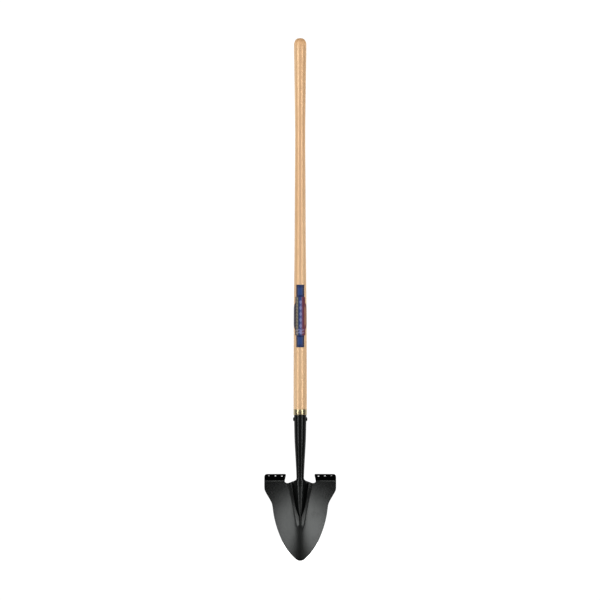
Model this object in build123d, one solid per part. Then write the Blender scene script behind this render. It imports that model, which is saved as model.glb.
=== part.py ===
from build123d import *
import math
import os

# Round point shovel, long ash handle, open-back pressed steel blade.
# Millimetres. +Z runs up the handle's axis, the dish of the blade faces -Y, and X is across.
# Heights are counted from the tip of the blade. The finished parts are then moved down,
# so that the origin lies on the handle's axis where a rack clip holds it.

# Overall
handle_top_z = 1483.0
clip_z = 1208.0
sheet = 1.9

# Blade, seen from the front
step_half_width = 102.1
step_top_z = 244.5
step_side_low_z = 205.5
step_corner_radius = 8.5
waist_half_width = 78.7
waist_z = 153.0
shoulder_end = (85.0, 173.0)
flank_middle = (71.8, 113.0)
low_arc_end = (56.3, 67.9)
low_arc_middle = (37.9, 33.8)
tip_arc_end = (12.6, 5.0)
tip_arc_middle = (6.6, 1.24)
step_side_round = 18.0
step_inner_top_x = 39.6
step_inner_low = (44.2, 222.5)
step_inner_corner_radius = 4.0
step_inner_low_round = 3.0
notch = (37.0, 217.4)
notch_radius = 3.0
collar_low = (20.0, 225.0)
collar_bend = (13.4, 229.0)
collar_bend_round = 6.0
collar_top = (11.2, 235.0)

# Blade, seen from the side
heel_z = 219.0
heel_y = 18.0
lift_deg = 25.0
bow = 8.0

# Dish across the blade, a hyperbola that straightens into the wings
dish_depth = 27.7
dish_reach = 60.0

# Frog, the hollow V that carries the socket into the blade: a narrow skirt inside each crease,
# then a steep wall up to a flat ridge in line with the front of the socket
frog_end_z = 93.0
frog_end_half_width = 8.6
frog_spread = 0.157
frog_flare = 0.0004
ridge_front_y = -11.0
ridge_bend_z = 215.0
ridge_lean = 0.175
ridge_softness = 8.0
ridge_end_softness = 1.2
skirt_slope = 0.25
skirt_least = 1.0
crease_softness = 1.4
wall_end_z = 127.0
wall_spread = 5.6
wall_least_half_width = 3.8
wall_power = 2.3
wall_foot_softness = 0.07

# Steps, turned forward along the top edge
bend_z = 227.0
bend_softness = 2.6
bend_slope = 1.35
step_inner_x = 41.0
step_blend = 8.0
step_hole_radius = 2.15
step_hole_x = 51.7
step_hole_pitch = 18.45
step_hole_count = 3
step_hole_z = 238.3
step_hole_rise = 1.1
step_hole_tilt = 45.0
step_hole_depth = 20.0

# Socket, rolled from the same sheet, with its seam at the back
socket_top_z = 413.0
socket_radii = [(17.8, 413.0), (17.2, 376.0), (16.1, 337.0), (13.2, 286.0), (11.4, 250.0), (10.2, 212.0)]
seam_width = 1.6
seam_low_z = 236.0
opening_high_z = 262.0
opening_low_z = 214.0
opening_low_y = -4.0
opening_back_y = 40.0

# Handle
handle_end_z = 264.0
ferrule_top_z = 429.0
swell_radius = 19.05
swell_z = 500.0
handle_radii = [
    (18.2, 705.0),
    (16.35, 890.0),
    (15.35, 1080.0),
    (14.6, 1205.0),
    (15.5, 1290.0),
    (17.2, 1415.0),
]
butt_radius = 17.7
butt_low_z = 1440.0
butt_high_z = 1464.0
dome_shoulder = (14.9, 1478.0)

# Ferrule
ferrule_radius = 19.25
ferrule_wall = 0.9
ferrule_round = 0.5

# Rivet
rivet_z = 401.0
rivet_radius = 3.0
rivet_head_radius = 5.8
rivet_reach = 20.6
rivet_gap = 0.03
rivet_head_rise = 4.6
shank_inset = 2.0

# Label
label_thickness = 0.2
label_low_z = 605.0
label_high_z = 783.0
label_tab_half_width = 11.2
label_middle_z = 693.5
label_middle_half_height = 54.5
label_side_y = -11.8
label_bulge_half_height = 38.0
label_back_y = 3.0

# Grid on which the pressed sheet is drawn
grid_half_width = 108.0
grid_low_z = -6.0
grid_high_z = 250.0
grid_columns = 91
grid_rows = 97

# Length of a cutting tool that has to pass right through a piece
cutter = 150.0


def smooth(value):
    """Ease from 0 to 1 with no corner at either end."""
    value = min(max(value, 0.0), 1.0)
    return value**3 * (10 - 15 * value + 6 * value**2)


def soft_ramp(value, width):
    """Zero below 0 and equal to value above it, with a rounded corner of the given width."""
    if value > 30 * width:
        return value
    return width * math.log1p(math.exp(value / width))


def spine_y(z):
    """Depth of the blade's middle line, without the frog."""
    share = z / heel_z
    lean = (z - heel_z) * math.tan(math.radians(lift_deg))
    return heel_y + lean + 4 * bow * share * (1 - share)


def dish_y(x):
    """How far the wings come forward of the middle line."""
    return dish_depth * (math.hypot(1, x / dish_reach) - 1)


def frog_half_width(z):
    """Half the distance between the two creases of the frog."""
    above = max(z - frog_end_z, 0.0)
    return frog_end_half_width + frog_spread * above + frog_flare * above**2


def ridge_y(z):
    """Depth of the frog's ridge, straight down from the socket and then leaning forward."""
    return ridge_front_y - ridge_lean * soft_ramp(ridge_bend_z - z, ridge_softness)


def dish_slope(x):
    return dish_depth * x / (dish_reach**2 * math.hypot(1, x / dish_reach))


def frog_y(x, z):
    """How far the frog stands forward of the dish."""
    height = soft_ramp(spine_y(z) - ridge_y(z), ridge_end_softness)
    half_width = frog_half_width(z)
    foot = math.sqrt(wall_least_half_width**2 + wall_spread * max(z - wall_end_z, 0.0))
    slope = skirt_slope + dish_slope(half_width)
    top = slope * max(half_width - foot, skirt_least)
    past_foot = soft_ramp(abs(x) - foot, crease_softness)
    skirt = slope * soft_ramp(half_width - foot - past_foot, crease_softness)
    wall_shape = soft_ramp(1 - abs(x / foot) ** wall_power, wall_foot_softness)
    return min(1.0, height / top) * skirt + max(height - top, 0.0) * wall_shape


def step_y(x, z):
    """How far the turned steps come forward of the dish."""
    inward = smooth((abs(x) - step_inner_x + step_blend) / step_blend)
    return inward * bend_slope * soft_ramp(z - bend_z, bend_softness)


def front_y(x, z):
    return spine_y(z) - dish_y(x) - frog_y(x, z) - step_y(x, z)


def back_y(x, z):
    """The back of the sheet, one sheet thickness behind the front."""
    gap = 0.5
    across = (front_y(x + gap, z) - front_y(x - gap, z)) / (2 * gap)
    upward = (front_y(x, z + gap) - front_y(x, z - gap)) / (2 * gap)
    return front_y(x, z) + sheet * math.sqrt(1 + across**2 + upward**2)


def drawn_surface(depth):
    """A smooth face through depth(x, z) over the whole grid."""
    points = []
    for row in range(grid_rows):
        z = grid_low_z + (grid_high_z - grid_low_z) * row / (grid_rows - 1)
        line = []
        for column in range(grid_columns):
            x = -grid_half_width + 2 * grid_half_width * column / (grid_columns - 1)
            line.append(Vector(x, depth(x, z), z))
        points.append(line)
    return Face.make_surface_from_array_of_points(points, tol=0.02, min_deg=3, max_deg=5)


def closed_between(front, back):
    """A solid between two faces that share the same rectangle seen from the front."""
    walls = []
    for side in (Axis.X, Axis.Z):
        for end in (0, -1):
            near = front.edges().sort_by(side)[end]
            far = back.edges().sort_by(side)[end]
            walls.append(Face.make_surface_from_curves(near, far))
    return Solid(Shell([front, back] + walls))


def blade_outline():
    """The blade's edge seen from the front, with the socket's root in the middle."""
    low_corner = (step_half_width, step_side_low_z)
    top_corner = (step_half_width, step_top_z)
    inner_corner = (step_inner_top_x, step_top_z)
    side = [low_corner, top_corner, inner_corner, step_inner_low]
    side += [notch, collar_low, collar_bend, collar_top]
    edges = []
    for hand in (1, -1):

        def at(place):
            return Vector(hand * place[0], place[1])

        tip = ThreePointArc((0, 0), at(tip_arc_middle), at(tip_arc_end))
        low = ThreePointArc(tip @ 1, at(low_arc_middle), at(low_arc_end))
        flank = ThreePointArc(low @ 1, at(flank_middle), at((waist_half_width, waist_z)))
        shoulder = TangentArc(flank @ 1, at(shoulder_end), tangent=flank % 1)
        edges += [tip, low, flank, shoulder]
        last = shoulder @ 1
        for place in side:
            edges.append(Line(last, at(place)))
            last = at(place)
    edges.append(Line(collar_top, (-collar_top[0], collar_top[1])))
    face = make_face(edges)

    def corners(place):
        x, z = place
        return [v for v in face.vertices() if math.hypot(abs(v.X) - x, v.Y - z) < 0.5]

    for place, radius in (
        (low_corner, step_side_round),
        (top_corner, step_corner_radius),
        (inner_corner, step_inner_corner_radius),
        (step_inner_low, step_inner_low_round),
        (notch, notch_radius),
        (collar_bend, collar_bend_round),
    ):
        face = fillet(corners(place), radius)
    return face


def socket_body(offset):
    """The solid of revolution inside the socket's surface, taken in by an offset."""
    curve = Spline([(radius - offset, 0, z) for radius, z in socket_radii])
    low = socket_radii[-1][1]
    high = socket_radii[0][1]
    rim = Line((0, 0, high), curve @ 0)
    base = Line(curve @ 1, (0, 0, low))
    axis = Line((0, 0, low), (0, 0, high))
    return revolve(make_face([rim, curve, base, axis]), Axis.Z)


def step_holes():
    """The three holes through each step, square to its slope."""
    holes = []
    for hand in (1, -1):
        for index in range(step_hole_count):
            x = hand * (step_hole_x + index * step_hole_pitch)
            z = step_hole_z + index * step_hole_rise
            y = front_y(x, z)
            drill = Cylinder(step_hole_radius, step_hole_depth, rotation=(-step_hole_tilt, 0, 0))
            holes.append(Pos(x, y, z) * drill)
    return holes


def rivet_hole():
    return Pos(0, 0, rivet_z) * Cylinder(rivet_radius + rivet_gap, cutter, rotation=(0, 90, 0))


def make_blade():
    """Blade, frog, steps and socket, pressed and rolled from one sheet."""
    sheet_solid = closed_between(drawn_surface(front_y), drawn_surface(back_y))
    outline = Plane.XZ * blade_outline()
    pressed = sheet_solid & extrude(outline, cutter, both=True)
    for hole in step_holes():
        pressed -= hole
    tube = socket_body(0) - socket_body(sheet)
    seam_middle_z = (socket_top_z + seam_low_z) / 2
    tube -= Pos(0, cutter / 2, seam_middle_z) * Box(seam_width, cutter, socket_top_z - seam_low_z)
    below_z = opening_low_z - opening_back_y
    behind = [
        (opening_low_y, below_z),
        (opening_low_y, opening_low_z),
        (opening_back_y, opening_high_z),
        (opening_back_y, below_z),
    ]
    tube -= extrude(Plane.YZ * make_face(Polyline(behind, close=True)), cutter, both=True)
    return tube + pressed - rivet_hole()


def handle_profile(grow=0.0):
    """The ash handle's outline from the ferrule's seat up to the crown, let out by a margin."""
    swell = Line((swell_radius + grow, 0, ferrule_top_z), (swell_radius + grow, 0, swell_z))
    knots = [(radius + grow, 0, z) for radius, z in handle_radii]
    ends = [(swell_radius + grow, 0, swell_z), (butt_radius + grow, 0, butt_low_z)]
    grip = Spline([ends[0]] + knots + [ends[1]], tangents=[(0, 0, 1), (0, 0, 1)])
    butt = Line(grip @ 1, (butt_radius + grow, 0, butt_high_z))
    crown = Spline(
        [butt @ 1, (dome_shoulder[0] + grow, 0, dome_shoulder[1]), (0, 0, handle_top_z + grow)],
        tangents=[(0, 0, 1), (-1, 0, 0)],
    )
    return [swell, grip, butt, crown]


def wood_above_ferrule(grow=0.0):
    curves = handle_profile(grow)
    base = Line((0, 0, ferrule_top_z), curves[0] @ 0)
    axis = Line(curves[-1] @ 1, (0, 0, ferrule_top_z))
    return revolve(make_face([base] + curves + [axis]), Axis.Z)


def make_handle():
    """One ash handle, shouldered under the ferrule and tapered into the socket."""
    seat_radius = ferrule_radius - ferrule_wall
    seat_height = ferrule_top_z - socket_top_z
    seat = Pos(0, 0, (ferrule_top_z + socket_top_z) / 2) * Cylinder(seat_radius, seat_height)
    stem_height = socket_top_z - handle_end_z
    below = Pos(0, 0, (socket_top_z + handle_end_z) / 2) * Cylinder(ferrule_radius, stem_height)
    stem = socket_body(sheet) & below
    return wood_above_ferrule() + seat + stem - rivet_hole()


def make_ferrule():
    """Brass ring that covers the end grain above the socket."""
    height = ferrule_top_z - socket_top_z
    ring = Cylinder(ferrule_radius, height) - Cylinder(ferrule_radius - ferrule_wall, height)
    rims = [e for e in ring.edges().filter_by(GeomType.CIRCLE) if abs(e.radius - ferrule_radius) < 0.01]
    ring = fillet(rims, ferrule_round)
    return Pos(0, 0, (ferrule_top_z + socket_top_z) / 2) * ring


def make_rivet():
    """Steel rivet across the socket, with a low round head on each side."""
    shank = Cylinder(rivet_radius, 2 * (rivet_reach - shank_inset), rotation=(0, 90, 0))
    ball_radius = (rivet_head_radius**2 + rivet_head_rise**2) / (2 * rivet_head_rise)
    cap = Box(2 * ball_radius, 2 * ball_radius, 2 * rivet_head_rise)
    head = Sphere(ball_radius) & Pos(0, 0, ball_radius) * cap
    heads = []
    for hand in (1, -1):
        heads.append(Rot(0, hand * 90, 0) * Pos(0, 0, rivet_reach - ball_radius) * head)
    outside = Pos(0, 0, rivet_z) * (heads[0] + heads[1]) - socket_body(0)
    return outside + Pos(0, 0, rivet_z) * shank


def make_label():
    """Printed film wrapped round the front of the handle."""
    film = wood_above_ferrule(label_thickness) - wood_above_ferrule()
    height = label_high_z - label_low_z
    tabs_middle_z = (label_high_z + label_low_z) / 2
    tabs = Pos(0, -cutter / 2, tabs_middle_z) * Box(2 * label_tab_half_width, cutter, height)
    low = label_middle_z - label_middle_half_height
    high = label_middle_z + label_middle_half_height
    bulge_low = (label_side_y, label_middle_z - label_bulge_half_height)
    bulge_high = (label_side_y, label_middle_z + label_bulge_half_height)
    bulge = ThreePointArc(bulge_low, (label_back_y, label_middle_z), bulge_high)
    top = Polyline([bulge_high, (label_side_y, high), (-cutter, high)])
    bottom = Polyline([(-cutter, high), (-cutter, low), (label_side_y, low), bulge_low])
    middle = extrude(Plane.YZ * make_face([bulge, top, bottom]), cutter, both=True)
    return film & (tabs + middle)


parts = {
    "blade": make_blade(),
    "handle": make_handle(),
    "ferrule": make_ferrule(),
    "rivet": make_rivet(),
    "label": make_label(),
}

os.makedirs("parts", exist_ok=True)
for name, part in parts.items():
    placed = Pos(0, 0, -clip_z) * part
    placed.label = name
    export_step(placed, f"parts/{name}.step")
    print(name, round(placed.volume, 1), len(placed.solids()))
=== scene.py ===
import math

import bmesh
import bpy
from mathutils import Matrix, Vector


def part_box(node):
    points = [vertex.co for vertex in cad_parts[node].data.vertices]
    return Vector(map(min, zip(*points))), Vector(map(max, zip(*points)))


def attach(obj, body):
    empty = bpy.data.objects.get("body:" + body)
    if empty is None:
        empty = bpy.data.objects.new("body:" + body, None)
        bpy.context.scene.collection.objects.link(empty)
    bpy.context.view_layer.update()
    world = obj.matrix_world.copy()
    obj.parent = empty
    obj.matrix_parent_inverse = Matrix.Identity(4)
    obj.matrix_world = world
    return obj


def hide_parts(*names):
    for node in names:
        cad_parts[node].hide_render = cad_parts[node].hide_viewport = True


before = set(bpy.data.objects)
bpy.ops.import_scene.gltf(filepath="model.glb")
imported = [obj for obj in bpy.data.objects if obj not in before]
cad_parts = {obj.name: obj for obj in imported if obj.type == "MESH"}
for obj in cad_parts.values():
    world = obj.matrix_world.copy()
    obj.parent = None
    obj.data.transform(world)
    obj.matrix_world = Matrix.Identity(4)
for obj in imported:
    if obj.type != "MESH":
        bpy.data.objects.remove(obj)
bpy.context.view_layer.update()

MM = 0.001
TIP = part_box("blade")[0].z

CAMERA_HEIGHT = TIP + 739.3 * MM
CAMERA_SIDE = -0.6 * MM
CAMERA_DISTANCE = 40.0
FRAME_HEIGHT = 1704.0 * MM
SENSOR_WIDTH = 36.0
CLIP_END = 400.0
FLOOR_RADIUS = 3.0
FLOOR_GAP = 0.5 * MM
BLADE_AIM = (0.0, 0.0, TIP + 130 * MM)
MIDDLE_AIM = (0.0, 0.0, CAMERA_HEIGHT)
HANDLE_AIM = (0.0, 0.0, TIP + 1250 * MM)


# ---------------------------------------------------------------- shapes of the tool, in metres

SHEET = 1.9 * MM
EDGE_ROUND = 0.55 * MM
OUTLINE_INSET = 1.05 * MM
TIP_INSET = 1.3 * MM
TIP_INSET_REACH = 30.0 * MM
TIP_ARC_TOP = 5.0 * MM
LOW_ARC_TOP = 67.9 * MM
FLANK_ARC_TOP = 153.0 * MM
FLANK_ARC_END = 170.0 * MM
FLANK_SLOPE = 0.6
FLARE_START = 163.0 * MM
FLARE_SOFT = 4.0 * MM
FLARE_END_SOFT = 1.6 * MM

STEP_HALF_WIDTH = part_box("blade")[1].x
STEP_TOP = 244.5 * MM
STEP_CORNER = 8.5 * MM
STEP_INNER_CORNER = 4.0 * MM
NOTCH_BOTTOM = 219.0 * MM
NOTCH_HALF_WIDTH = 36.9 * MM
NOTCH_FILLET = 5.5 * MM
NOTCH_FILLET_HEIGHT = 6.0 * MM

HEEL_HEIGHT = 219.0 * MM
HEEL_DEPTH = 18.0 * MM
LIFT = math.tan(math.radians(25.0))
BOW = 8.0 * MM
DISH_DEPTH = 27.7 * MM
DISH_REACH = 60.0 * MM

FROG_END = 93.0 * MM
FROG_END_HALF_WIDTH = 8.6 * MM
FROG_SPREAD = 0.157
FROG_FLARE = 0.4
RIDGE_FRONT = -11.0 * MM
RIDGE_BEND = 215.0 * MM
RIDGE_LEAN = 0.175
RIDGE_SOFT = 8.0 * MM
RIDGE_END_SOFT = 1.2 * MM
SKIRT_SLOPE = 0.25
CREASE_SOFT = 1.4 * MM
WALL_END = 127.0 * MM
WALL_SPREAD = 5.6 * MM
WALL_LEAST = 3.8 * MM
WALL_POWER = 2.3
FOOT_SOFT = 0.07

BEND_HEIGHT = 227.0 * MM
BEND_SOFT = 0.9 * MM
BEND_SLOPE = 1.35
STEP_INNER = 41.0 * MM
STEP_EDGE = 44.0 * MM
STEP_EDGE_FOOT = 224.0 * MM
STEP_EDGE_LEAN = 0.205
STEP_BLEND = 8.0 * MM
STEP_HOLE_RADIUS = 2.15 * MM
STEP_HOLE_FIRST = 51.7 * MM
STEP_HOLE_PITCH = 18.45 * MM
STEP_HOLE_COUNT = 3
STEP_HOLE_HEIGHT = 238.3 * MM
STEP_HOLE_RISE = 1.1 * MM

SOCKET_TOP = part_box("blade")[1].z - TIP
SOCKET_RADII = [(212, 10.2), (250, 11.4), (286, 13.2), (337, 16.1), (376, 17.2), (413, 17.8)]
COLLAR_LOW = 221.0 * MM
COLLAR_HIGH = 240.0 * MM
COLLAR_FOOT = 227.6 * MM
COLLAR_HALF_WIDTH = 11.5 * MM
COLLAR_SPREAD = 2.65
COLLAR_SOFT = 2.2 * MM
THROAT_LOW = 227.0 * MM
THROAT_HIGH = 262.0 * MM
SEAM_HALF_GAP = 0.8 * MM

FERRULE_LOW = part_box("ferrule")[0].z - TIP
FERRULE_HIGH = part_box("ferrule")[1].z - TIP
FERRULE_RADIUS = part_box("ferrule")[1].x - 0.01 * MM
FERRULE_WALL = 0.9 * MM
FERRULE_LIP = 0.6 * MM
FERRULE_SEGMENTS = 96
SEAT_EASE = 0.2 * MM

HANDLE_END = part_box("handle")[0].z - TIP
HANDLE_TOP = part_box("handle")[1].z - TIP
HANDLE_RADII = [
    (429, 19.05), (500, 19.05), (705, 18.2), (890, 16.35), (1080, 15.35),
    (1205, 14.6), (1290, 15.5), (1415, 17.2), (1440, 17.7), (1464, 17.7),
]
CROWN_LOW = 1464.0 * MM
CROWN_STEPS = 16
CROWN_FULLNESS = 0.72
CROWN_LIFT = 1.12
END_CHAMFER = 1.0 * MM
HANDLE_SEGMENTS = 72

RIVET_HEIGHT = (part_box("rivet")[0].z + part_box("rivet")[1].z) / 2 - TIP
RIVET_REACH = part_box("rivet")[1].x
RIVET_HEAD_RADIUS = 5.8 * MM
RIVET_SHARES = (0.0, 0.2, 0.4, 0.58, 0.74, 0.86, 0.94, 0.985)
RIVET_FALL = 0.92
RIVET_FULLNESS = 2.3
RIVET_RIM = 0.7 * MM
RIVET_BED = 0.4 * MM
RIVET_SEGMENTS = 40

LABEL_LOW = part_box("label")[0].z - TIP
LABEL_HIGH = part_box("label")[1].z - TIP
LABEL_THICKNESS = 0.2 * MM
LABEL_WRAP_RADIUS = 18.0 * MM
LABEL_SHOULDER = 1.2 * MM
LABEL_BEDDING = 1.15
LABEL_EDGE_ROUND = 0.02 * MM
LABEL_TAB_HALF_WIDTH = 11.2 * MM
LABEL_MIDDLE = 693.5 * MM
LABEL_MIDDLE_HALF_HEIGHT = 54.5 * MM
LABEL_SIDE_DEPTH = -11.8 * MM
LABEL_BULGE_HALF_HEIGHT = 38.0 * MM
LABEL_BACK_DEPTH = 3.0 * MM

CORNER_REACH = 30


def smooth(value):
    """Ease from 0 to 1 with no corner at either end."""
    value = min(max(value, 0.0), 1.0)
    return value**3 * (10 - 15 * value + 6 * value**2)


def soft_ramp(value, width):
    """Zero below 0 and equal to value above it, with a rounded corner of the given width."""
    if value > CORNER_REACH * width:
        return value
    return width * math.log1p(math.exp(value / width))


def through(knots, height):
    """Radius at a height, on a smooth curve through (height, radius) knots given in millimetres."""
    z = height / MM
    if z <= knots[0][0]:
        return knots[0][1] * MM
    if z >= knots[-1][0]:
        return knots[-1][1] * MM

    def slope(index):
        low = max(index - 1, 0)
        high = min(index + 1, len(knots) - 1)
        return (knots[high][1] - knots[low][1]) / (knots[high][0] - knots[low][0])

    for index in range(len(knots) - 1):
        (z0, r0), (z1, r1) = knots[index], knots[index + 1]
        if z0 <= z <= z1:
            step = z1 - z0
            t = (z - z0) / step
            start = slope(index) if index else 0.0
            end = slope(index + 1)
            radius = (2 * t**3 - 3 * t**2 + 1) * r0 + (t**3 - 2 * t**2 + t) * step * start
            radius += (3 * t**2 - 2 * t**3) * r1 + (t**3 - t**2) * step * end
            return radius * MM
    return knots[-1][1] * MM


def socket_radius(z):
    return through(SOCKET_RADII, z)


def handle_radius(z):
    return through(HANDLE_RADII, z)


def circle_through(a, b, c):
    """Centre and radius of the circle through three points."""
    (ax, ay), (bx, by), (cx, cy) = a, b, c
    d = 2 * (ax * (by - cy) + bx * (cy - ay) + cx * (ay - by))
    a2, b2, c2 = ax * ax + ay * ay, bx * bx + by * by, cx * cx + cy * cy
    x = (a2 * (by - cy) + b2 * (cy - ay) + c2 * (ay - by)) / d
    y = (a2 * (cx - bx) + b2 * (ax - cx) + c2 * (bx - ax)) / d
    return x, y, math.hypot(ax - x, ay - y)


# Points on the outline, as (half-width, height) in millimetres.
TIP_ARC = circle_through((-12.6, 5.0), (0.0, 0.0), (12.6, 5.0))
LOW_ARC = circle_through((12.6, 5.0), (37.9, 33.8), (56.3, 67.9))
FLANK_ARC = circle_through((56.3, 67.9), (71.8, 113.0), (78.7, 153.0))


def right_of(arc, height):
    """Distance from the middle to the right side of an arc at a height."""
    x, y, radius = (part * MM for part in arc)
    return x + math.sqrt(max(radius**2 - (height - y) ** 2, 0.0))


def outline_half_width(height):
    """Half the blade's width at a height above the tip."""
    if height <= TIP_ARC_TOP:
        return right_of(TIP_ARC, height)
    if height <= LOW_ARC_TOP:
        return right_of(LOW_ARC, height)
    if height <= FLANK_ARC_TOP:
        return right_of(FLANK_ARC, height)
    flare = FLANK_SLOPE * soft_ramp(height - FLARE_START, FLARE_SOFT)
    rising = right_of(FLANK_ARC, min(height, FLANK_ARC_END)) + flare
    held = STEP_HALF_WIDTH - soft_ramp(STEP_HALF_WIDTH - rising, FLARE_END_SOFT)
    corner = height - (STEP_TOP - STEP_CORNER)
    if corner > 0:
        fall = math.sqrt(max(STEP_CORNER**2 - corner**2, 0.0))
        held = min(held, STEP_HALF_WIDTH - STEP_CORNER + fall)
    return held


def spine_depth(z):
    share = z / HEEL_HEIGHT
    return HEEL_DEPTH + (z - HEEL_HEIGHT) * LIFT + 4 * BOW * share * (1 - share)


def dish_depth(x):
    return DISH_DEPTH * (math.hypot(1, x / DISH_REACH) - 1)


def dish_slope(x):
    return DISH_DEPTH * x / (DISH_REACH**2 * math.hypot(1, x / DISH_REACH))


def frog_half_width(z):
    above = max(z - FROG_END, 0.0)
    return FROG_END_HALF_WIDTH + FROG_SPREAD * above + FROG_FLARE * above**2


def ridge_depth(z):
    return RIDGE_FRONT - RIDGE_LEAN * soft_ramp(RIDGE_BEND - z, RIDGE_SOFT)


def frog_rise(x, z):
    """How far the frog stands forward of the dish: a narrow skirt, then a steep wall to the ridge."""
    height = soft_ramp(spine_depth(z) - ridge_depth(z), RIDGE_END_SOFT)
    half_width = frog_half_width(z)
    foot = math.sqrt(WALL_LEAST**2 + WALL_SPREAD * max(z - WALL_END, 0.0))
    slope = SKIRT_SLOPE + dish_slope(half_width)
    top = slope * max(half_width - foot, 1.0 * MM)
    outside = soft_ramp(half_width - foot - soft_ramp(abs(x) - foot, CREASE_SOFT), CREASE_SOFT)
    wall = max(height - top, 0.0) * soft_ramp(1 - abs(x / foot) ** WALL_POWER, FOOT_SOFT)
    return min(1.0, height / top) * slope * outside + wall


def step_rise(x, z):
    inward = smooth((abs(x) - STEP_INNER + STEP_BLEND) / STEP_BLEND)
    return inward * BEND_SLOPE * soft_ramp(z - BEND_HEIGHT, BEND_SOFT)


def blade_front(x, z):
    """Depth of the blade's front face."""
    return spine_depth(z) - dish_depth(x) - frog_rise(x, z) - step_rise(x, z)


# ---------------------------------------------------------------- mesh work

def show(mesh, name, material):
    """Turn a bmesh into a smooth-shaded piece with its material, linked into the scene."""
    bmesh.ops.recalc_face_normals(mesh, faces=mesh.faces)
    data = bpy.data.meshes.new(name)
    mesh.to_mesh(data)
    mesh.free()
    for polygon in data.polygons:
        polygon.use_smooth = True
    data.materials.append(material)
    piece = bpy.data.objects.new(name, data)
    bpy.context.scene.collection.objects.link(piece)
    return piece


def evenly(low, high, count):
    return [low + (high - low) * index / count for index in range(count + 1)]


def guarded(low, high, count, guard):
    """Even steps from low to high, with one narrow step at each end to hold the edge crisp."""
    return [low] + evenly(low + guard, high - guard, count) + [high]


FROG_COLUMNS = 32
WING_COLUMNS = 26
GUARD = 0.8 * MM
NOTCH_GUARD = 1.6 * MM
CREASE_GUARD = 1.0 * MM
CREASE_LIMIT = 0.36
NOTCH_LIMIT = 0.42
LEAST_HALF_WIDTH = 0.5 * MM


def blade_columns(z):
    """Places across the right half of the blade at one height, out from the middle."""
    inset = OUTLINE_INSET * min(1.0, z / TIP_INSET_REACH)
    outer = max(outline_half_width(z) - inset, LEAST_HALF_WIDTH)
    reach = NOTCH_HALF_WIDTH / frog_half_width(NOTCH_BOTTOM)
    crease = min(frog_half_width(z), CREASE_LIMIT * outer)
    notch = min(crease * reach, NOTCH_LIMIT * outer)
    notch_half_gap = min(NOTCH_GUARD, (notch - crease) * 0.6)
    frog = evenly(0.0, crease - min(CREASE_GUARD, 0.1 * crease), FROG_COLUMNS - 1)
    frog.append(crease)
    gap = [notch - notch_half_gap, notch, notch + notch_half_gap]
    guard = min(GUARD, 0.05 * (outer - gap[-1]))
    return frog + gap + guarded(gap[-1], outer, WING_COLUMNS, guard)[1:]


LAST_FROG = FROG_COLUMNS + 1
FIRST_WING = FROG_COLUMNS + 3


def collar_edge(z):
    """Half-width of the free edge that sweeps from the notch up to the socket."""
    return COLLAR_HALF_WIDTH + COLLAR_SPREAD * soft_ramp(COLLAR_FOOT - z, COLLAR_SOFT)


def step_inner_edge(z):
    """The step's free edge beside the notch."""
    low = (z - NOTCH_BOTTOM) / NOTCH_FILLET_HEIGHT
    edge = STEP_EDGE - STEP_EDGE_LEAN * max(z - STEP_EDGE_FOOT, 0.0)
    if low < 1:
        edge -= NOTCH_FILLET * (1 - low) ** 2
    corner = z - (STEP_TOP - STEP_INNER_CORNER)
    if corner > 0:
        edge += STEP_INNER_CORNER - math.sqrt(max(STEP_INNER_CORNER**2 - corner**2, 0.0))
    return edge + EDGE_ROUND


def half_turn(z):
    """How far round from the front the rolled sheet reaches at a height."""
    closed = math.pi - SEAM_HALF_GAP / socket_radius(z)
    return math.pi / 2 + (closed - math.pi / 2) * smooth((z - THROAT_LOW) / (THROAT_HIGH - THROAT_LOW))


def collar_shares():
    """Shares of the way round from the ridge to the free edge, one per column."""
    return evenly(0.0, 0.985, LAST_FROG - 1) + [1.0]


def collar_points(z):
    """The right half of one level section, from the ridge out to the free edge."""
    edge = collar_edge(z) - EDGE_ROUND
    fine = 120
    xs = [edge * index / fine for index in range(fine + 1)]
    ys = [blade_front(x, z) for x in xs]
    lengths = [0.0]
    for index in range(fine):
        lengths.append(lengths[-1] + math.hypot(xs[index + 1] - xs[index], ys[index + 1] - ys[index]))
    rolled = smooth((z - COLLAR_LOW) / (COLLAR_HIGH - COLLAR_LOW))
    spread = smooth((z - NOTCH_BOTTOM) / (COLLAR_LOW - NOTCH_BOTTOM))
    turn = half_turn(z)
    radius = socket_radius(z)
    columns = blade_columns(NOTCH_BOTTOM)
    points = []
    for column, share in enumerate(collar_shares()):
        want = share * lengths[-1]
        index = max(i for i in range(fine + 1) if lengths[i] <= want + 1e-12)
        index = min(index, fine - 1)
        part = (want - lengths[index]) / (lengths[index + 1] - lengths[index])
        by_length = xs[index] + part * (xs[index + 1] - xs[index])
        by_column = columns[column] * edge / columns[LAST_FROG]
        x = by_column + spread * (by_length - by_column)
        flat = (x, blade_front(x, z))
        angle = share * turn
        bent = (radius * math.sin(angle), -radius * math.cos(angle))
        points.append((flat[0] + rolled * (bent[0] - flat[0]), flat[1] + rolled * (bent[1] - flat[1])))
    return points


def blade_rows():
    tip = [0.05, 0.35, 0.9, 1.7, 2.8, 4.2, 6.0, 8.2]
    rows = [height * MM for height in tip]
    rows += evenly(10.8 * MM, 216.6 * MM, 76)
    return rows + [218.2 * MM, NOTCH_BOTTOM]


def collar_rows():
    rows = [219.5 * MM, 220.2 * MM]
    rows += evenly(221.0 * MM, 233.0 * MM, 14)
    rows += evenly(234.4 * MM, THROAT_HIGH + 2 * MM, 20)
    rows += evenly(268.0 * MM, SOCKET_TOP - GUARD, 34)
    return rows + [SOCKET_TOP - EDGE_ROUND * 0.5]


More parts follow.
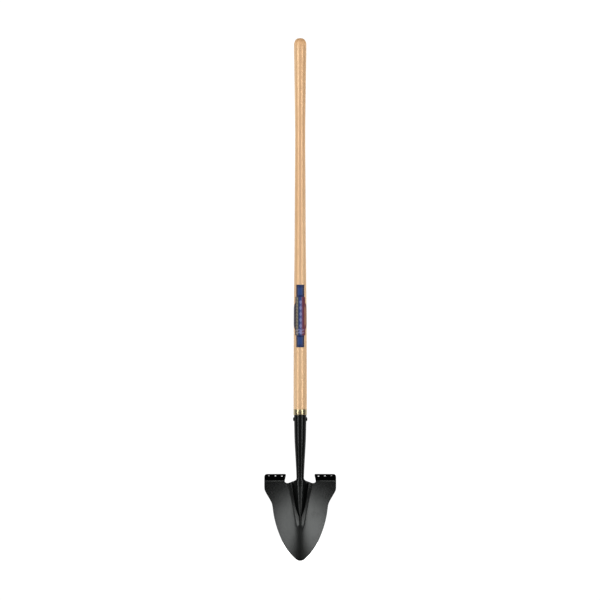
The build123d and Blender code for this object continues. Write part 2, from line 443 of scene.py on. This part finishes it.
def step_rows():
    rows = evenly(220.0 * MM, 224.0 * MM, 4)
    rows += evenly(224.6 * MM, 230.0 * MM, 9)
    rows += evenly(231.0 * MM, STEP_HOLE_HEIGHT, 6)
    step = (STEP_TOP - STEP_HOLE_HEIGHT) / 5
    rows += [STEP_HOLE_HEIGHT + step * count for count in (1, 2, 3, 4, 4.5)]
    return rows + [STEP_TOP - EDGE_ROUND]


def blade_sheet_front():
    """The front face of the pressed sheet as one open mesh, with the step holes left out."""
    mesh = bmesh.new()
    spots = {}

    def put(row, column, x, y, z):
        spots[row, column] = mesh.verts.new((x, y, TIP + z))

    body = blade_rows()
    for row, height in enumerate(body):
        z = height + TIP_INSET * (1 - smooth(height / TIP_INSET_REACH))
        for column, x in enumerate(blade_columns(height)):
            y = blade_front(x, z)
            put(row, column, x, y, z)
            if column:
                put(row, -column, -x, y, z)
    top = len(body) - 1
    collar = collar_rows()
    for row, z in enumerate(collar, top + 1):
        for column, (x, y) in enumerate(collar_points(z)):
            put(row, column, x, y, z)
            if column:
                put(row, -column, -x, y, z)
    steps = step_rows()
    last = FIRST_WING + WING_COLUMNS + 2
    for row, z in enumerate(steps, top + 1):
        across = guarded(step_inner_edge(z), outline_half_width(z) - OUTLINE_INSET, WING_COLUMNS, GUARD)
        for column, x in enumerate(across, FIRST_WING):
            put(row, column, x, blade_front(x, z), z)
            put(row, -column, -x, blade_front(x, z), z)
    hole_row = top + 1 + steps.index(STEP_HOLE_HEIGHT)

    def quad(row, column):
        corners = [(row, column), (row, column + 1), (row + 1, column + 1), (row + 1, column)]
        if all(corner in spots for corner in corners):
            return mesh.faces.new([spots[corner] for corner in corners])
        return None

    quads = {}
    for row in range(top + max(len(collar), len(steps))):
        for column in range(-last, last):
            quads[row, column] = quad(row, column)
    for hand in (1, -1):
        for count in range(STEP_HOLE_COUNT):
            centre = hand * (STEP_HOLE_FIRST + count * STEP_HOLE_PITCH)
            height = STEP_HOLE_HEIGHT + count * STEP_HOLE_RISE
            punch(mesh, spots, quads, hole_row, centre, height)
    bmesh.ops.delete(mesh, geom=[v for v in mesh.verts if not v.link_faces], context="VERTS")
    mesh.normal_update()
    if sum(face.normal.y for face in mesh.faces) > 0:
        bmesh.ops.reverse_faces(mesh, faces=mesh.faces)
    return mesh


def punch(mesh, spots, quads, row, centre, height):
    """Replace a block of four by four faces of a step with a ring of faces round a hole."""
    columns = [column for (r, column) in spots if r == row and abs(column) >= FIRST_WING]
    middle = min(columns, key=lambda column: abs(spots[row, column].co.x - centre))
    for r in range(row - 2, row + 2):
        for c in range(middle - 2, middle + 2):
            mesh.faces.remove(quads[r, c])
    around = [(row - 2, middle + c) for c in range(-2, 2)]
    around += [(row + r, middle + 2) for r in range(-2, 2)]
    around += [(row + 2, middle - c) for c in range(-2, 2)]
    around += [(row - r, middle - 2) for r in range(-2, 2)]
    outer = [spots[key] for key in around]
    foreshorten = math.cos(math.pi / 4)
    loops = [outer]
    for radius in (STEP_HOLE_RADIUS + EDGE_ROUND * 1.6, STEP_HOLE_RADIUS + EDGE_ROUND):
        loop = []
        for vertex in outer:
            angle = math.atan2((vertex.co.z - TIP - height) / foreshorten, vertex.co.x - centre)
            x = centre + radius * math.cos(angle)
            z = height + radius * math.sin(angle) * foreshorten
            loop.append(mesh.verts.new((x, blade_front(x, z), TIP + z)))
        loops.append(loop)
    for outside, inside in zip(loops, loops[1:]):
        for index in range(len(outer)):
            after = (index + 1) % len(outer)
            mesh.faces.new([outside[index], outside[after], inside[after], inside[index]])


def thicken(mesh, thickness, edge_round):
    """Give an open sheet its thickness behind the front face, with a rounded edge all round."""
    mesh.normal_update()
    front = list(mesh.verts)
    normals = {v: v.normal.copy() for v in front}
    for _ in range(3):
        softer = {}
        for v in front:
            total = normals[v].copy()
            for edge in v.link_edges:
                total += normals[edge.other_vert(v)]
            softer[v] = total.normalized()
        normals = softer
    rims = [edge for edge in mesh.edges if edge.is_boundary]
    outward = {}
    for edge in rims:
        face = edge.link_faces[0]
        along = (edge.verts[1].co - edge.verts[0].co).normalized()
        away = along.cross(face.normal)
        if away.dot(edge.verts[0].co - face.calc_center_median()) < 0:
            away = -away
        for v in edge.verts:
            outward[v] = outward.get(v, Vector()) + away
    back = {v: mesh.verts.new(v.co - normals[v] * thickness) for v in front}
    profile = [(0.04, 0.45), (0.16, 0.8), (0.5, 1.0), (0.84, 0.8), (0.96, 0.45)]
    lip = {}
    for v, away in outward.items():
        away = away.normalized()
        ring = [mesh.verts.new(v.co - normals[v] * thickness * a + away * edge_round * b) for a, b in profile]
        lip[v] = [v] + ring + [back[v]]
    for face in list(mesh.faces):
        mesh.faces.new([back[v] for v in reversed(face.verts)])
    for edge in rims:
        a, b = edge.verts
        for index in range(len(profile) + 1):
            mesh.faces.new([lip[a][index], lip[b][index], lip[b][index + 1], lip[a][index + 1]])
    return mesh


def turned(profile, segments):
    """A body of revolution about the handle's axis. The profile is a list of (radius, height)."""
    mesh = bmesh.new()
    rings = []
    for radius, height in profile:
        if radius < 1e-6:
            rings.append([mesh.verts.new((0, 0, TIP + height))])
            continue
        ring = []
        for index in range(segments):
            angle = 2 * math.pi * index / segments
            ring.append(mesh.verts.new((radius * math.cos(angle), radius * math.sin(angle), TIP + height)))
        rings.append(ring)
    for low, high in zip(rings, rings[1:]):
        for index in range(segments):
            after = (index + 1) % segments
            corners = [low[index % len(low)], low[after % len(low)]]
            corners += [high[after % len(high)], high[index % len(high)]]
            corners = list(dict.fromkeys(corners))
            if len(corners) > 2:
                mesh.faces.new(corners)
    return mesh


def make_blade(material):
    mesh = thicken(blade_sheet_front(), SHEET, EDGE_ROUND)
    return show(mesh, "blade_pressing", material)


def make_handle(material):
    """Ash pole from its tapered end in the socket to the rounded crown."""
    inside = [(z, socket_radius(z) - SHEET) for z in evenly(HANDLE_END, SOCKET_TOP, 24)]
    end_radius = inside[0][1]
    profile = [(0.0, HANDLE_END), (end_radius - END_CHAMFER, HANDLE_END)]
    profile += [(end_radius, HANDLE_END + END_CHAMFER)]
    profile += [(radius, z) for z, radius in inside[1:]]
    seat = FERRULE_RADIUS - FERRULE_WALL
    profile += [(seat, SOCKET_TOP), (seat, FERRULE_HIGH - SEAT_EASE)]
    above = FERRULE_HIGH + SEAT_EASE
    profile += [(handle_radius(z), z) for z in evenly(FERRULE_HIGH, above, 3)]
    profile += [(handle_radius(z), z) for z in evenly(above + 1 * MM, CROWN_LOW, 130)]
    crown_height = HANDLE_TOP - CROWN_LOW
    butt = handle_radius(CROWN_LOW)
    for index in range(1, CROWN_STEPS):
        angle = math.pi / 2 * index / CROWN_STEPS
        across = math.cos(angle) ** CROWN_FULLNESS
        up = math.sin(angle) ** CROWN_LIFT
        profile.append((butt * across, CROWN_LOW + crown_height * up))
    profile.append((0.0, HANDLE_TOP))
    return show(turned(profile, HANDLE_SEGMENTS), "ash_handle", material)


def make_ferrule(material):
    low, high, radius = FERRULE_LOW, FERRULE_HIGH, FERRULE_RADIUS
    inner = radius - FERRULE_WALL
    lip = FERRULE_LIP
    profile = [(inner, low)]
    for centre, start in ((low + lip, -90), (high - lip, 0)):
        for turn in range(0, 91, 15):
            angle = math.radians(start + turn)
            profile.append((radius - lip + lip * math.cos(angle), centre + lip * math.sin(angle)))
    profile += [(inner, high), (inner, low)]
    mesh = turned(profile, FERRULE_SEGMENTS)
    bmesh.ops.remove_doubles(mesh, verts=mesh.verts, dist=1e-7)
    return show(mesh, "brass_ferrule", material)


def make_rivet_heads(material):
    """The two low round heads of the cross rivet, each bedded on the socket's curve."""
    mesh = bmesh.new()
    radius = socket_radius(RIVET_HEIGHT)
    rise = RIVET_REACH - radius
    domed = [(share, None) for share in RIVET_SHARES]
    for hand in (1, -1):
        rings = []
        for share, off_socket in domed + [(1.0, RIVET_RIM), (1.0, -RIVET_BED)]:
            ring = []
            across = RIVET_HEAD_RADIUS * share
            for index in range(RIVET_SEGMENTS if share else 1):
                angle = 2 * math.pi * index / RIVET_SEGMENTS
                y = across * math.cos(angle)
                z = RIVET_HEIGHT + across * math.sin(angle)
                if off_socket is None:
                    dome = rise * math.sqrt(1 - RIVET_FALL * share**RIVET_FULLNESS)
                    x = min(radius + dome, RIVET_REACH)
                else:
                    x = math.sqrt(radius**2 - y**2) + off_socket
                ring.append(mesh.verts.new((hand * x, y, TIP + z)))
            rings.append(ring)
        for low, high in zip(rings, rings[1:]):
            for index in range(RIVET_SEGMENTS):
                after = (index + 1) % RIVET_SEGMENTS
                corners = [low[index % len(low)], low[after % len(low)], high[after], high[index]]
                mesh.faces.new(list(dict.fromkeys(corners)))
        mesh.faces.new(rings[-1])
    return show(mesh, "rivet_heads", material)


def label_half_angle(z):
    """How far round from the front the label reaches at a height."""
    radius = handle_radius(z) + LABEL_THICKNESS
    tab = math.asin(LABEL_TAB_HALF_WIDTH / radius)
    away = abs(z - LABEL_MIDDLE)
    bulge_end = (LABEL_SIDE_DEPTH, LABEL_BULGE_HALF_HEIGHT)
    middle = (LABEL_BACK_DEPTH, 0.0)
    depth, height, arc = circle_through((LABEL_SIDE_DEPTH, -LABEL_BULGE_HALF_HEIGHT), middle, bulge_end)
    edge = LABEL_SIDE_DEPTH
    if away < LABEL_BULGE_HALF_HEIGHT:
        edge = depth + math.sqrt(arc**2 - away**2)
    wrap = math.acos(max(-1.0, min(1.0, -edge / radius)))
    inside = smooth((LABEL_MIDDLE_HALF_HEIGHT - away) / LABEL_SHOULDER + 0.5)
    return tab + inside * (wrap - tab)


def make_label(material):
    """Printed film, proud of the wood by its own thickness, with its edges laid down."""
    low = LABEL_MIDDLE - LABEL_MIDDLE_HALF_HEIGHT
    high = LABEL_MIDDLE + LABEL_MIDDLE_HALF_HEIGHT
    near = 0.8 * MM
    clear = 1.4 * MM
    rows = evenly(LABEL_LOW, low - LABEL_SHOULDER, 12) + evenly(low - near, low + near, 6)
    rows += evenly(low + clear, high - clear, 48)
    rows += evenly(high - near, high + near, 6) + evenly(high + LABEL_SHOULDER, LABEL_HIGH, 12)
    columns = guarded(-1.0, 1.0, 44, 0.01)
    mesh = bmesh.new()
    grid = []
    for z in rows:
        radius = handle_radius(z) + LABEL_THICKNESS
        reach = label_half_angle(z)
        line = []
        for share in columns:
            angle = reach * share
            line.append(mesh.verts.new((radius * math.sin(angle), -radius * math.cos(angle), TIP + z)))
        grid.append(line)
    for below, above in zip(grid, grid[1:]):
        for column in range(len(columns) - 1):
            mesh.faces.new([below[column], below[column + 1], above[column + 1], above[column]])
    mesh.normal_update()
    if sum(face.normal.y for face in mesh.faces) > 0:
        bmesh.ops.reverse_faces(mesh, faces=mesh.faces)
    thicken(mesh, LABEL_THICKNESS * LABEL_BEDDING, LABEL_EDGE_ROUND)
    return show(mesh, "printed_label", material)


# ---------------------------------------------------------------- finishes

class Value:
    """One output of a shader node. Python's arithmetic on it adds Math nodes."""

    def __init__(self, shading, socket):
        self.shading = shading
        self.socket = socket

    def math(self, operation, *others):
        values = dict(enumerate((self,) + others))
        return self.shading.node("Math", {"operation": operation}, values)

    def __add__(self, other):
        return self.math("ADD", other)

    def __sub__(self, other):
        return self.math("SUBTRACT", other)

    def __rsub__(self, other):
        return self.shading.node("Math", {"operation": "SUBTRACT"}, {0: other, 1: self})

    def __mul__(self, other):
        return self.math("MULTIPLY", other)

    __radd__ = __add__
    __rmul__ = __mul__


class Shading:
    """A node tree, with one method that adds any node to it."""

    def __init__(self, tree):
        self.tree = tree
        self.tree.nodes.clear()

    def feed(self, socket, value):
        if isinstance(value, Value):
            self.tree.links.new(value.socket, socket)
        elif isinstance(value, tuple) and len(value) == 3 and socket.type == "RGBA":
            socket.default_value = (*value, 1.0)
        else:
            socket.default_value = value

    def node(self, kind, settings=None, inputs=None, out=0):
        made = self.tree.nodes.new("ShaderNode" + kind)
        for key, value in (settings or {}).items():
            setattr(made, key, value)
        for key, value in (inputs or {}).items():
            self.feed(made.inputs[key], value)
        return None if out is None else Value(self, made.outputs[out])

    def axis(self, name, source=None):
        return self.node("SeparateXYZ", None, {0: source or self.place}, out=name)

    def joined(self, x, y, z):
        return self.node("CombineXYZ", None, {0: x, 1: y, 2: z})

    def stretched(self, x, y, z):
        return self.node("VectorMath", {"operation": "MULTIPLY"}, {0: self.place, 1: (x, y, z)})

    def noise(self, vector, scale=1.0, detail=2.0, roughness=0.5):
        values = {"Vector": vector, "Scale": scale, "Detail": detail, "Roughness": roughness}
        return self.node("TexNoise", None, values)

    def ramp(self, value, low, high, start=0.0, end=1.0):
        settings = {"interpolation_type": "SMOOTHSTEP"}
        return self.node("MapRange", settings, {0: value, 1: low, 2: high, 3: start, 4: end})

    def band(self, value, low, high, soft):
        """1 between low and high, 0 outside, with edges this soft."""
        rising = self.ramp(value, low - soft, low + soft)
        falling = self.ramp(value, high - soft, high + soft, 1.0, 0.0)
        return rising * falling

    def mix(self, under, over, share):
        return self.node("Mix", {"data_type": "RGBA"}, {0: share, 6: under, 7: over}, out=2)

    def bump(self, height, distance, strength, below=None):
        values = {"Height": height, "Distance": distance, "Strength": strength}
        if below:
            values["Normal"] = below
        return self.node("Bump", None, values)


class Finish(Shading):
    """A material with one Principled shader. Its constants are set on the shader's own sockets."""

    def __init__(self, name, **constants):
        self.material = bpy.data.materials.new(name)
        self.material.use_nodes = True
        super().__init__(self.material.node_tree)
        shading = self.node("BsdfPrincipled", None, self.by_socket(constants))
        self.shader = shading.socket.node
        self.node("OutputMaterial", None, {0: shading}, out=None)
        self.place = self.node("TexCoord", out="Object")

    def by_socket(self, values):
        return {key.replace("_", " "): value for key, value in values.items()}

    def give(self, **values):
        for name, value in self.by_socket(values).items():
            self.feed(self.shader.inputs[name], value)


def powder_coat(name, base, roughness):
    """Satin black powder coat on pressed steel: orange peel, faint waviness and a little dust."""
    green_sheen = (0.965, 1.0, 0.985, 1.0)
    finish = Finish(name, Specular_IOR_Level=0.3, Specular_Tint=green_sheen)
    peel = finish.noise(finish.place, 850.0, 2.0)
    grit = finish.noise(finish.place, 3200.0, 1.0)
    waves = finish.noise(finish.place, 16.0, 2.0)
    dust = finish.ramp(finish.noise(finish.stretched(1.0, 1.0, 0.5), 38.0, 5.0, 0.62), 0.5, 0.78)
    rubbed = finish.ramp(finish.noise(finish.stretched(60.0, 60.0, 9.0), 1.0, 6.0, 0.7), 0.58, 0.75)
    dusty = tuple(channel * 2.0 + 0.001 for channel in base)
    colour = finish.mix(base, dusty, dust * 0.55)
    colour = finish.mix(colour, tuple(channel * 1.5 for channel in base), grit * 0.5)
    finish.give(Base_Color=colour)
    finish.give(Roughness=roughness + dust * 0.05 + rubbed * 0.03 + (peel - 0.5) * 0.06)
    form = finish.bump(waves, 0.5 * MM, 0.35)
    form = finish.bump(peel, 0.05 * MM, 0.28, form)
    finish.give(Normal=finish.bump(grit, 0.012 * MM, 0.25, form))
    return finish.material


def lacquered_ash():
    """Ash with long straight grain: porous spring wood in dark lines, under a satin lacquer."""
    amber_sheen = (1.0, 0.64, 0.38, 1.0)
    finish = Finish(
        "lacquered_ash",
        IOR=1.8,
        Specular_IOR_Level=1.0,
        Specular_Tint=amber_sheen,
        Coat_Roughness=0.16,
    )
    # The second colour on the next line is painted shade, laid down the middle of the front face below.
    russet, centre_shade, pore_brown = (0.58, 0.34, 0.18), (0.60, 0.35, 0.22), (0.30, 0.17, 0.07)
    honey, end_grain, shade = (0.60, 0.34, 0.15), (0.36, 0.20, 0.09), (0.24, 0.14, 0.06)
    height = finish.axis("Z")
    drift = finish.noise(finish.joined(0.0, 0.0, height * 1.7), 1.0, 3.0)
    sway = finish.noise(finish.joined(4.0, 0.0, height * 2.3), 1.0, 3.0)
    x = finish.axis("X") + (drift - 0.5) * 0.030 + 0.046
    y = finish.axis("Y") + (sway - 0.5) * 0.034 + 0.021
    from_pith = (x * x + y * y).math("SQRT")
    ruffle = finish.noise(finish.stretched(130.0, 130.0, 5.0), 1.0, 3.0)
    years = from_pith * 430.0 + ruffle * 0.55
    year = years.math("FRACT")
    spring = finish.ramp(year, 0.0, 0.10) * finish.ramp(year, 0.16, 0.46, 1.0, 0.0)
    fibres = finish.noise(finish.stretched(900.0, 900.0, 9.0), 1.0, 3.0, 0.6)
    streaks = finish.noise(finish.stretched(120.0, 120.0, 1.3), 1.0, 4.0, 0.6)
    broad = finish.noise(finish.stretched(34.0, 34.0, 1.1), 1.0, 2.0)
    pores = finish.ramp(finish.noise(finish.stretched(2600.0, 2600.0, 95.0), 1.0, 2.0), 0.60, 0.72)
    pale, warm, deep = (0.78, 0.56, 0.34), (0.67, 0.43, 0.23), (0.44, 0.24, 0.10)
    colour = finish.mix(pale, warm, finish.ramp(streaks, 0.38, 0.58))
    colour = finish.mix(colour, russet, finish.ramp(broad, 0.44, 0.62) * 0.5)
    # Painted shade: a darker streak wanders down the middle of the front face only, for the dark centre line
    # between the side reflections.
    wander = finish.axis("X") + (sway - 0.5) * (9 * MM)
    facing = finish.ramp(finish.axis("Y"), 0.0, 8 * MM, 1.0, 0.0)
    centre_shade_band = finish.band(wander, -1.6 * MM, 1.8 * MM, 1.6 * MM) * facing
    colour = finish.mix(colour, centre_shade, centre_shade_band * finish.ramp(drift, 0.40, 0.58) * 0.6)
    colour = finish.mix(colour, deep, spring * (0.26 + fibres * 0.34))
    colour = finish.mix(colour, pore_brown, pores * (spring * 0.55 + 0.12))
    colour = finish.mix(colour, pale, finish.ramp(fibres, 0.55, 0.8) * 0.18)
    top = TIP + HANDLE_TOP
    crown = finish.ramp(height, top - 30 * MM, top - 4 * MM)
    rim = finish.ramp(height, top - 16 * MM, top - 3 * MM)
    colour = finish.mix(colour, honey, crown * 0.55)
    colour = finish.mix(colour, end_grain, rim * 0.7)
    # Painted shade: the wood darkens towards its end down inside the socket.
    root = finish.ramp(height, TIP + HANDLE_END, TIP + SOCKET_TOP, 0.5, 0.0)
    finish.give(Base_Color=finish.mix(colour, shade, root))
    finish.give(Roughness=0.27 + pores * 0.15 + spring * 0.05 + (streaks - 0.5) * 0.08 + crown * 0.35)
    finish.give(Coat_Weight=(0.12 - pores * 0.06) * (1 - crown))
    form = finish.bump(streaks, 0.10 * MM, 0.5)
    form = finish.bump(1 - spring, 0.03 * MM, 0.6, form)
    finish.give(Normal=finish.bump(1 - pores, 0.05 * MM, 0.7, form))
    return finish.material


def polished_brass():
    """Spun brass, polished, with fine turning lines round the ring."""
    finish = Finish("polished_brass", Metallic=1.0)
    lines = finish.noise(finish.stretched(12.0, 12.0, 5200.0), 1.0, 2.0)
    cloud = finish.noise(finish.place, 90.0, 4.0, 0.6)
    tarnish = finish.ramp(cloud, 0.5, 0.8)
    bright, dull = (0.57, 0.48, 0.29), (0.48, 0.38, 0.19)
    finish.give(Base_Color=finish.mix(bright, dull, tarnish * 0.3))
    finish.give(Roughness=0.25 + lines * 0.05 + tarnish * 0.05)
    finish.give(Normal=finish.bump(lines, 0.003 * MM, 0.4))
    return finish.material


def printed_film():
    """Satin printed label: blue tabs, and a middle field of plain coloured bands and lozenges."""
    finish = Finish("printed_film", Specular_IOR_Level=0.22, Coat_Weight=0.06, Coat_Roughness=0.2)
    across = finish.axis("X").math("ARCTAN2", finish.axis("Y") * -1.0) * LABEL_WRAP_RADIUS
    up = finish.axis("Z") - (TIP + LABEL_MIDDLE)
    side = across.math("ABSOLUTE")
    high = up.math("ABSOLUTE")
    blue, navy, lilac = (0.020, 0.050, 0.175), (0.008, 0.014, 0.050), (0.30, 0.29, 0.50)
    slate, olive, umber = (0.022, 0.030, 0.070), (0.19, 0.165, 0.115), (0.034, 0.024, 0.030)
    plum, maroon, amber = (0.11, 0.030, 0.085), (0.125, 0.022, 0.040), (0.30, 0.135, 0.075)
    ink, edge_blue, grey = (0.026, 0.022, 0.040), (0.006, 0.014, 0.070), (0.055, 0.050, 0.065)
    silver, violet = (0.17, 0.17, 0.21), (0.085, 0.075, 0.21)
    tab = finish.mix(blue, ink, finish.ramp(side, 5.4 * MM, 8.0 * MM) * 0.9)
    tab = finish.mix(tab, navy, finish.ramp(high, 78 * MM, 83 * MM) * 0.6)
    tab = finish.mix(tab, edge_blue, finish.band(high, 54 * MM, 59.5 * MM, 1.2 * MM))
    left = finish.mix(umber, olive, finish.band(across, -12.4 * MM, -6.4 * MM, 0.8 * MM))
    left = finish.mix(left, grey, finish.ramp(across, -18 * MM, -16 * MM, 1.0, 0.0))
    hatch_height, hatch_width = 9.0 * MM, 16 * MM
    hatch = (up * (1 / hatch_height) + across * (1 / hatch_width)).math("FRACT")
    marks = finish.band(hatch, 0.3, 0.6, 0.12)
    hatched = finish.band(across, -17.0 * MM, -13.0 * MM, 0.8 * MM)
    left = finish.mix(left, silver, marks * hatched * 0.6)
    left = finish.mix(left, umber, marks * 0.6)
    right = finish.mix(plum, maroon, finish.ramp(across, 6.8 * MM, 8.2 * MM))
    right = finish.mix(right, amber, finish.ramp(across, 10.5 * MM, 13.5 * MM))
    right = finish.mix(right, maroon, finish.ramp(high, 20 * MM, 34 * MM) * 0.9)
    middle = finish.mix(slate, blue, finish.ramp(across, -4.4 * MM, -2.8 * MM))
    middle = finish.mix(middle, violet, finish.ramp(across, 0.6 * MM, 3.0 * MM))
    lozenge_pitch, lozenge_width = 17.0 * MM, 5.0 * MM
    lift = (up * (1 / lozenge_pitch) + 0.12).math("FRACT") - 0.5
    lozenge = (across - 1.2 * MM).math("ABSOLUTE") * (1 / lozenge_width) + lift.math("ABSOLUTE") * 1.5
    charge = finish.ramp(lozenge, 0.55, 0.85, 1.0, 0.0) * finish.ramp(up, 42 * MM, 46 * MM, 1.0, 0.0)
    middle = finish.mix(middle, lilac, charge * 0.62)
    inner = finish.mix(left, middle, finish.ramp(across, -6.4 * MM, -5.8 * MM))
    inner = finish.mix(inner, right, finish.ramp(across, 4.8 * MM, 5.4 * MM))
    wave_turns, wave_height = 420.0, 1.1 * MM
    wave = up + (across * wave_turns).math("SINE") * wave_height
    lower_line = finish.band(wave, -49.5 * MM, -45.5 * MM, 0.8 * MM)
    upper_line = finish.band(wave, -41.5 * MM, -37.5 * MM, 0.8 * MM)
    banner = (lower_line + upper_line) * finish.ramp(side, 9 * MM, 14 * MM, 1.0, 0.0)
    inner = finish.mix(inner, lilac, banner * 0.4)
    colour = finish.mix(tab, inner, finish.ramp(high, 54.2 * MM, 54.8 * MM, 1.0, 0.0))
    fleck = finish.noise(finish.place, 1400.0, 2.0)
    colour = finish.mix(colour, finish.mix(colour, lilac, 0.2), finish.ramp(fleck, 0.6, 0.8))
    finish.give(Base_Color=colour)
    ripple = finish.noise(finish.stretched(60.0, 60.0, 22.0), 1.0, 2.0)
    finish.give(Roughness=0.34 + ripple * 0.1)
    finish.give(Normal=finish.bump(ripple, 0.12 * MM, 0.35))
    return finish.material


# ---------------------------------------------------------------- studio

def studio_world():
    """White to the eye. What the tool reflects is dark in front and above, and bright behind it."""
    world = bpy.data.worlds.new("studio")
    world.use_nodes = True
    room = Shading(world.node_tree)
    away = room.node("TexCoord", out="Generated")
    behind = room.axis("Y", away)
    above = room.ramp(room.axis("Z", away), 0.12, 0.5)
    ahead = room.ramp(behind, -0.1, 0.35, 1.0, 0.0)
    level = room.ramp(behind, -0.95, -0.6, 0.13, 0.06) + room.ramp(behind, -0.35, 0.95)
    dimmed = level * (1 - above * ahead * 0.8)
    seen = room.node("LightPath", out="Is Camera Ray")
    strength = dimmed.math("MAXIMUM", seen)
    background = room.node("Background", None, {0: (1.0, 1.0, 1.0), 1: strength})
    room.node("OutputWorld", None, {0: background}, out=None)
    bpy.context.scene.world = world


def softbox(name, azimuth, elevation, distance, width, height, radiance, aim, shines=True):
    """A soft studio panel, placed by its direction from the point it lights."""
    turn, rise = math.radians(azimuth), math.radians(elevation)
    away = Vector((math.sin(turn) * math.cos(rise), -math.cos(turn) * math.cos(rise), math.sin(rise)))
    light = bpy.data.lights.new(name, "AREA")
    light.shape = "RECTANGLE"
    light.size = width
    light.size_y = height
    light.energy = radiance * math.pi * width * height
    lamp = bpy.data.objects.new(name, light)
    lamp.location = Vector(aim) + away * distance
    lamp.rotation_euler = away.to_track_quat("Z", "Y").to_euler()
    lamp.visible_camera = False
    lamp.visible_glossy = shines
    bpy.context.scene.collection.objects.link(lamp)


def pale_floor():
    """A round floor, pale to the eye. It throws light back up only behind the tool."""
    mesh = bmesh.new()
    bmesh.ops.create_circle(mesh, cap_ends=True, segments=96, radius=FLOOR_RADIUS)
    data = bpy.data.meshes.new("floor")
    mesh.to_mesh(data)
    mesh.free()
    floor = bpy.data.objects.new("floor", data)
    floor.location = (0, 0, TIP - FLOOR_GAP)
    bpy.context.scene.collection.objects.link(floor)
    finish = Finish("pale_floor", Roughness=0.9, Specular_IOR_Level=0.0, Emission_Strength=1.0)
    away = finish.node("VectorMath", {"operation": "LENGTH"}, {0: finish.place}, out="Value")
    seen = finish.node("LightPath", None, None, out="Is Camera Ray")
    black, charcoal, mid_grey = (0.0, 0.0, 0.0), (0.06, 0.06, 0.06), (0.7, 0.7, 0.7)
    pale_grey, off_white, white = (0.82, 0.82, 0.82), (0.85, 0.85, 0.85), (1.0, 1.0, 1.0)
    finish.give(Base_Color=finish.mix(charcoal, off_white, seen))
    glow = finish.mix(pale_grey, white, finish.ramp(away, 0.2, 1.0))
    behind = finish.ramp(finish.axis("Y"), 20 * MM, 200 * MM)
    bounce = finish.mix(black, mid_grey, behind)
    finish.give(Emission_Color=finish.mix(bounce, glow, seen))
    data.materials.append(finish.material)


def camera():
    """A level camera a long way off in front, with the whole tool upright in the frame."""
    lens = bpy.data.cameras.new("camera")
    lens.sensor_width = SENSOR_WIDTH
    lens.lens = SENSOR_WIDTH * CAMERA_DISTANCE / FRAME_HEIGHT
    lens.clip_end = CLIP_END
    eye = bpy.data.objects.new("camera", lens)
    eye.location = (CAMERA_SIDE, -CAMERA_DISTANCE, CAMERA_HEIGHT)
    eye.rotation_euler = (math.pi / 2, 0, 0)
    bpy.context.scene.collection.objects.link(eye)
    bpy.context.scene.camera = eye


camera()
studio_world()
pale_floor()
# Degrees round and up from the front, then distance, width, height and radiance, then the aim.
softbox("left_key", -32, 47, 12.0, 5.4, 3.4, 8.1, BLADE_AIM)
softbox("right_key", 31, 47, 12.0, 4.9, 3.4, 6.9, BLADE_AIM)
softbox("left_strip", -42, 0, 8.0, 1.9, 3.6, 5.4, HANDLE_AIM)
softbox("right_strip", 36, 0, 8.0, 1.9, 3.6, 5.4, HANDLE_AIM)
softbox("front", 0, 22, 4.0, 2.4, 0.9, 1.0, BLADE_AIM)
softbox("left_fill", -70, 10, 4.0, 3.0, 3.0, 2.9, MIDDLE_AIM, shines=False)
softbox("right_fill", 70, 10, 4.0, 3.0, 3.0, 2.9, MIDDLE_AIM, shines=False)
bpy.context.scene.view_settings.view_transform = "Standard"

black_coat = powder_coat("black_powder_coat", base=(0.0011, 0.0013, 0.0012), roughness=0.235)
rivet_coat = powder_coat("rivet_black", base=(0.0030, 0.0032, 0.0032), roughness=0.28)
pieces = [
    (make_blade(black_coat), "blade", "coated_steel"),
    (make_handle(lacquered_ash()), "handle", "ash"),
    (make_ferrule(polished_brass()), "ferrule", "brass"),
    (make_rivet_heads(rivet_coat), "rivet", "rivet_steel"),
    (make_label(printed_film()), "label", "printed_film"),
]
for piece, node, slot in pieces:
    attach(piece, "root")
    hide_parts(node)

bpy.context.view_layer.update()
